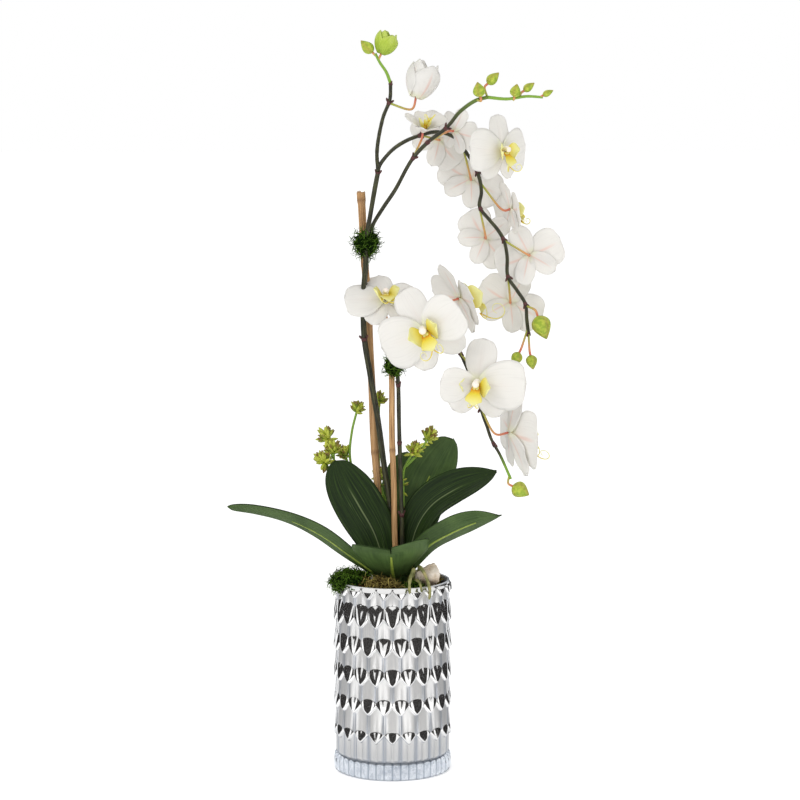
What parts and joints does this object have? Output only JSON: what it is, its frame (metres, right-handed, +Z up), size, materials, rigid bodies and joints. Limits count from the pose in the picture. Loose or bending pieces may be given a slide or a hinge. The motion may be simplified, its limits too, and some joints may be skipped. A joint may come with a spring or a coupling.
{
  "type": "potted orchid",
  "caption": "Artificial moth orchid in a silvered pressed-glass cylinder vase: arching flower spikes on bamboo stakes above strap leaves, moss, stone and aerial roots.",
  "frame": {"origin": "centre of the vase's underside", "axes": "+Z up along the vase's axis, -Y towards the front, where the flowers face, +X to the right seen from the front"},
  "size_m": [0.3966, 0.1558, 0.882],
  "materials": {
    "vase_glass": "pressed glass, silvered inside above a clear fluted foot",
    "potting_fill": "coarse brown potting bark",
    "bamboo": "satin dried bamboo with darker joints",
    "stem": "satin dark olive, bright green at the growing tips, purple-brown bracts",
    "leaf": "coated leaf, satin deep green above and greyer green below, with fine lengthwise veins",
    "petal": "soft white petal cloth with faint veins, pink-orange midribs behind and a yellow lip",
    "bud": "satin yellow-green with brownish-rose tips",
    "green_moss": "dyed dark green moss fibres",
    "golden_moss": "dry golden-brown moss strands",
    "stone": "rough broken tan stone",
    "root": "matt olive-tan aerial roots",
    "sedum": "matt yellow-green fleshy leaflets"
  },
  "bodies": {
    "root": {"potting_fill": "potting_fill", "stake_tall": "bamboo", "stake_short": "bamboo", "spike_forked": "stem", "spike_budded": "stem", "spike_low": "stem", "tie_upper": "green_moss", "tie_lower": "green_moss", "crown": "leaf", "leaf_long_left": "leaf", "leaf_upright_left": "leaf", "leaf_front": "leaf", "leaf_low_right": "leaf", "leaf_middle_right": "leaf", "leaf_upright_right": "leaf", "leaf_back": "leaf", "root_left": "root", "root_right": "root", "root_small": "root", "sprig_left": "sedum", "sprig_tall": "sedum", "sprig_middle": "sedum", "sprig_right": "sedum", "stone": "stone", "moss_green_left": "green_moss", "moss_golden": "golden_moss", "moss_green_right": "green_moss", "moss_brown_back": "golden_moss", "flower_low_1": "petal", "flower_low_2": "petal", "flower_low_3": "petal", "flower_low_4": "petal", "flower_low_5": "petal", "flower_arch_1": "petal", "flower_arch_2": "petal", "flower_arch_3": "petal", "flower_arch_4": "petal", "flower_arch_5": "petal", "flower_arch_6": "petal", "flower_arch_7": "petal", "flower_arch_8": "petal", "flower_arch_9": "petal", "flower_top_cup": "petal", "bud_top_large": "bud", "bud_top_middle": "bud", "bud_arch_large": "bud", "bud_arch_left": "bud", "bud_arch_right": "bud", "bud_low_end": "bud", "bud_tip_1": "bud", "bud_tip_2": "bud", "bud_tip_3": "bud", "bud_tip_4": "bud", "bud_tip_5": "bud", "vase": "vase_glass"}
  },
  "joints": []
}
